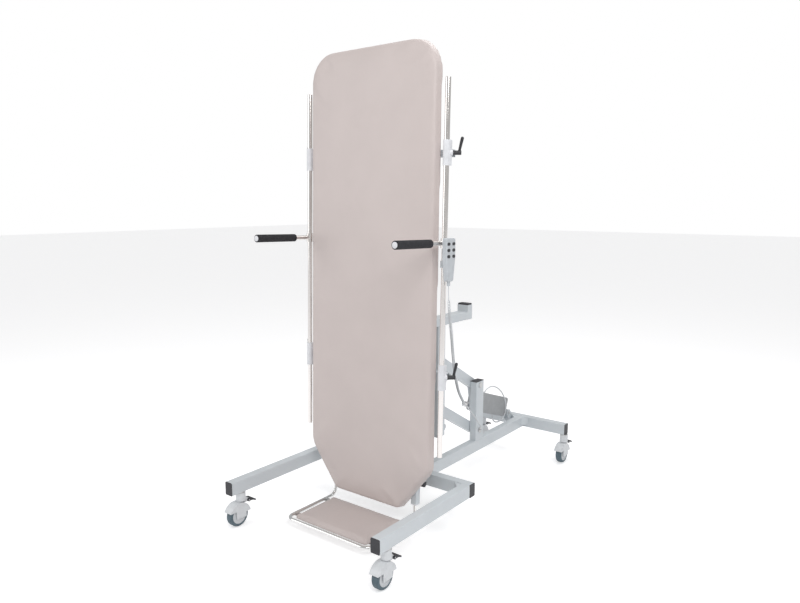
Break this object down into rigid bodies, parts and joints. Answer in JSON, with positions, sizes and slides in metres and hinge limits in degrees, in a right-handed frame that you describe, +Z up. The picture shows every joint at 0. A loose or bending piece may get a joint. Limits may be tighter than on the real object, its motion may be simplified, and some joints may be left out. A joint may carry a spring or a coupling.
{
  "type": "tilt table with lift",
  "caption": "Electric standing tilt table: padded top with side rails, handles and footplate, raised by parallel arms and tilted by an actuator on a castered base.",
  "frame": {"origin": "centre of the assembly's plan box, on the floor", "axes": "+Z up, +X to the side that carries the handset, +Y to the rear; the padded top faces -Y when upright"},
  "size_m": [0.8838, 1.7509, 2.0998],
  "materials": {
    "frame_paint": "semi-gloss powder coat",
    "black_plastic": "satin",
    "steel": "satin",
    "caster_grey": "satin",
    "tyre": "matt",
    "actuator_grey": "satin",
    "bright_rod": "polished",
    "pad_vinyl": "soft satin vinyl",
    "board": "plain",
    "sleeve_grey": "satin",
    "chrome": "polished",
    "foam": "matt foam",
    "handset_grey": "satin",
    "button_black": "satin",
    "cord_grey": "satin"
  },
  "bodies": {
    "base": {"front_legs": "frame_paint", "front_crossbar": "frame_paint", "spine_beam": "frame_paint", "rear_crossbar": "frame_paint", "lift_post": "frame_paint", "base_end_caps": "black_plastic", "caster_stems": "steel", "rear_pivot_pins": "steel"},
    "upper_arm": {"upper_arm": "frame_paint"},
    "lower_arm": {"lower_arm": "frame_paint", "handset_cord_tail": "cord_grey"},
    "carriage": {"carriage_upright": "frame_paint", "stop_arm": "frame_paint", "stop_buffer": "black_plastic", "tilt_crossbeam": "frame_paint", "front_pivot_pins": "steel"},
    "lift_body": {"lift_actuator_body": "actuator_grey", "actuator_cable": "cord_grey"},
    "lift_rod": {"lift_actuator_rod": "bright_rod"},
    "tilt_body": {"tilt_actuator_body": "black_plastic"},
    "tilt_rod": {"tilt_actuator_rod": "bright_rod"},
    "table": {"pad_cushion": "pad_vinyl", "pad_board": "board", "frame_side_tubes": "frame_paint", "frame_cross_tubes": "frame_paint", "hinge_lugs": "frame_paint", "rail_sleeves": "sleeve_grey", "footplate_bushes": "black_plastic", "handset_cord_lower": "cord_grey"},
    "right_rail": {"rail_right": "chrome", "grip_right": "foam", "handset_case": "handset_grey", "handset_cord_upper": "cord_grey"},
    "left_rail": {"rail_left": "chrome", "grip_left": "foam"},
    "footplate": {"footplate_loop": "chrome", "footplate_cushion": "pad_vinyl"},
    "knob": {"footplate_knob": "black_plastic"},
    "lever_upper_right": {"lever_upper_right": "black_plastic"},
    "lever_lower_right": {"lever_lower_right": "black_plastic"},
    "lever_upper_left": {"lever_upper_left": "black_plastic"},
    "lever_lower_left": {"lever_lower_left": "black_plastic"},
    "caster_front_right": {"caster_front_right_housing": "caster_grey"},
    "wheel_front_right": {"caster_front_right_wheel": "tyre"},
    "pedal_front_right": {"caster_front_right_pedal": "black_plastic"},
    "caster_front_left": {"caster_front_left_housing": "caster_grey"},
    "wheel_front_left": {"caster_front_left_wheel": "tyre"},
    "pedal_front_left": {"caster_front_left_pedal": "black_plastic"},
    "caster_rear_right": {"caster_rear_right_housing": "caster_grey"},
    "wheel_rear_right": {"caster_rear_right_wheel": "tyre"},
    "pedal_rear_right": {"caster_rear_right_pedal": "black_plastic"},
    "caster_rear_left": {"caster_rear_left_housing": "caster_grey"},
    "wheel_rear_left": {"caster_rear_left_wheel": "tyre"},
    "pedal_rear_left": {"caster_rear_left_pedal": "black_plastic"},
    "button_1": {"handset_button_1": "button_black"},
    "button_2": {"handset_button_2": "button_black"},
    "button_3": {"handset_button_3": "button_black"},
    "button_4": {"handset_button_4": "button_black"},
    "button_5": {"handset_button_5": "button_black"},
    "button_6": {"handset_button_6": "button_black"}
  },
  "joints": [
    {"name": "lift", "type": "hinge", "parent": "base", "child": "lower_arm", "pos_m": [0.116, 0.29245, 0.267], "axis": [-1, 0, 0], "range_deg": [-2, 20]},
    {"name": "upper_arm_turn", "type": "hinge", "parent": "base", "child": "upper_arm", "pos_m": [0.116, 0.29245, 0.506], "axis": [-1, 0, 0], "range_deg": [-2.05, 20.1]},
    {"name": "carriage_level", "type": "hinge", "parent": "lower_arm", "child": "carriage", "pos_m": [0.149, -0.06349, 0.4725], "axis": [-1, 0, 0], "range_deg": [-20.1, 2.05]},
    {"name": "lift_swing", "type": "hinge", "parent": "base", "child": "lift_body", "pos_m": [0.075, 0.74145, 0.235], "axis": [-1, 0, 0], "range_deg": [-2, 1]},
    {"name": "lift_stroke", "type": "slide", "parent": "lift_body", "child": "lift_rod", "axis": [0, -0.9467, 0.3222], "range_m": [-0.005, 0.045]},
    {"name": "tilt", "type": "hinge", "parent": "carriage", "child": "table", "pos_m": [0, -0.27255, 0.886], "axis": [-1, 0, 0], "range_deg": [0, 88.5]},
    {"name": "tilt_swing", "type": "hinge", "parent": "carriage", "child": "tilt_body", "pos_m": [0.075, 0.05645, 0.33], "axis": [-1, 0, 0], "range_deg": [-0.5, 4]},
    {"name": "tilt_stroke", "type": "slide", "parent": "tilt_body", "child": "tilt_rod", "axis": [0, -0.6436, 0.7654], "range_m": [0, 0.1625]},
    {"name": "right_rail_slide", "type": "slide", "parent": "table", "child": "right_rail", "axis": [0, 0.0257, 0.9997], "range_m": [-0.15, 0.15]},
    {"name": "left_rail_slide", "type": "slide", "parent": "table", "child": "left_rail", "axis": [0, 0.0257, 0.9997], "range_m": [-0.15, 0.15]},
    {"name": "footplate_height", "type": "slide", "parent": "table", "child": "footplate", "axis": [0, 0.0257, 0.9997], "range_m": [-0.015, 0.035]},
    {"name": "knob_turn", "type": "hinge", "parent": "table", "child": "knob", "pos_m": [0.2533, -0.36427, 0.22113], "axis": [1, 0, 0], "range_deg": [0, 270]},
    {"name": "lever_upper_right_turn", "type": "hinge", "parent": "table", "child": "lever_upper_right", "pos_m": [0.3815, -0.35899, 1.63496], "axis": [0.769, 0.6393, 0], "range_deg": [0, 60]},
    {"name": "lever_lower_right_turn", "type": "hinge", "parent": "table", "child": "lever_lower_right", "pos_m": [0.3815, -0.38252, 0.71826], "axis": [0.769, 0.6393, 0], "range_deg": [0, 60]},
    {"name": "lever_upper_left_turn", "type": "hinge", "parent": "table", "child": "lever_upper_left", "pos_m": [-0.3815, -0.35899, 1.63496], "axis": [0.769, -0.6393, 0], "range_deg": [0, 60]},
    {"name": "lever_lower_left_turn", "type": "hinge", "parent": "table", "child": "lever_lower_left", "pos_m": [-0.3815, -0.38252, 0.71826], "axis": [0.769, -0.6393, 0], "range_deg": [0, 60]},
    {"name": "swivel_front_right", "type": "hinge", "parent": "base", "child": "caster_front_right", "pos_m": [0.4194, -0.79955, 0.14], "axis": [0, 0, 1], "continuous": true},
    {"name": "roll_front_right", "type": "hinge", "parent": "caster_front_right", "child": "wheel_front_right", "pos_m": [0.4194, -0.82155, 0.05], "axis": [1, 0, 0], "continuous": true},
    {"name": "brake_front_right", "type": "hinge", "parent": "caster_front_right", "child": "pedal_front_right", "pos_m": [0.4194, -0.76555, 0.104], "axis": [-1, 0, 0], "range_deg": [0, 14]},
    {"name": "swivel_front_left", "type": "hinge", "parent": "base", "child": "caster_front_left", "pos_m": [-0.4194, -0.79955, 0.14], "axis": [0, 0, 1], "continuous": true},
    {"name": "roll_front_left", "type": "hinge", "parent": "caster_front_left", "child": "wheel_front_left", "pos_m": [-0.4194, -0.82155, 0.05], "axis": [1, 0, 0], "continuous": true},
    {"name": "brake_front_left", "type": "hinge", "parent": "caster_front_left", "child": "pedal_front_left", "pos_m": [-0.4194, -0.76555, 0.104], "axis": [-1, 0, 0], "range_deg": [0, 14]},
    {"name": "swivel_rear_right", "type": "hinge", "parent": "base", "child": "caster_rear_right", "pos_m": [0.412, 0.80245, 0.14], "axis": [0, 0, 1], "continuous": true},
    {"name": "roll_rear_right", "type": "hinge", "parent": "caster_rear_right", "child": "wheel_rear_right", "pos_m": [0.412, 0.78045, 0.05], "axis": [1, 0, 0], "continuous": true},
    {"name": "brake_rear_right", "type": "hinge", "parent": "caster_rear_right", "child": "pedal_rear_right", "pos_m": [0.412, 0.83645, 0.104], "axis": [-1, 0, 0], "range_deg": [0, 14]},
    {"name": "swivel_rear_left", "type": "hinge", "parent": "base", "child": "caster_rear_left", "pos_m": [-0.114, 0.80245, 0.14], "axis": [0, 0, 1], "continuous": true},
    {"name": "roll_rear_left", "type": "hinge", "parent": "caster_rear_left", "child": "wheel_rear_left", "pos_m": [-0.114, 0.78045, 0.05], "axis": [1, 0, 0], "continuous": true},
    {"name": "brake_rear_left", "type": "hinge", "parent": "caster_rear_left", "child": "pedal_rear_left", "pos_m": [-0.114, 0.83645, 0.104], "axis": [-1, 0, 0], "range_deg": [0, 14]},
    {"name": "button_1_press", "type": "slide", "parent": "right_rail", "child": "button_1", "axis": [-1, 0, 0], "range_m": [0, 0.001], "stiffness_N_per_m": 400, "springref_m": -0.0005},
    {"name": "button_2_press", "type": "slide", "parent": "right_rail", "child": "button_2", "axis": [-1, 0, 0], "range_m": [0, 0.001], "stiffness_N_per_m": 400, "springref_m": -0.0005},
    {"name": "button_3_press", "type": "slide", "parent": "right_rail", "child": "button_3", "axis": [-1, 0, 0], "range_m": [0, 0.001], "stiffness_N_per_m": 400, "springref_m": -0.0005},
    {"name": "button_4_press", "type": "slide", "parent": "right_rail", "child": "button_4", "axis": [-1, 0, 0], "range_m": [0, 0.001], "stiffness_N_per_m": 400, "springref_m": -0.0005},
    {"name": "button_5_press", "type": "slide", "parent": "right_rail", "child": "button_5", "axis": [-1, 0, 0], "range_m": [0, 0.001], "stiffness_N_per_m": 400, "springref_m": -0.0005},
    {"name": "button_6_press", "type": "slide", "parent": "right_rail", "child": "button_6", "axis": [-1, 0, 0], "range_m": [0, 0.001], "stiffness_N_per_m": 400, "springref_m": -0.0005}
  ],
  "couplings": [
    {"joint": "upper_arm_turn", "follows": "lift", "ratio": 1},
    {"joint": "carriage_level", "follows": "lift", "ratio": -1},
    {"joint": "lift_swing", "follows": "lift", "ratio": -0.078121},
    {"joint": "lift_stroke", "follows": "lift", "m_per_rad": 0.12039},
    {"joint": "tilt_swing", "follows": "tilt", "ratio": 0.040988},
    {"joint": "tilt_stroke", "follows": "tilt", "m_per_rad": 0.10502}
  ]
}
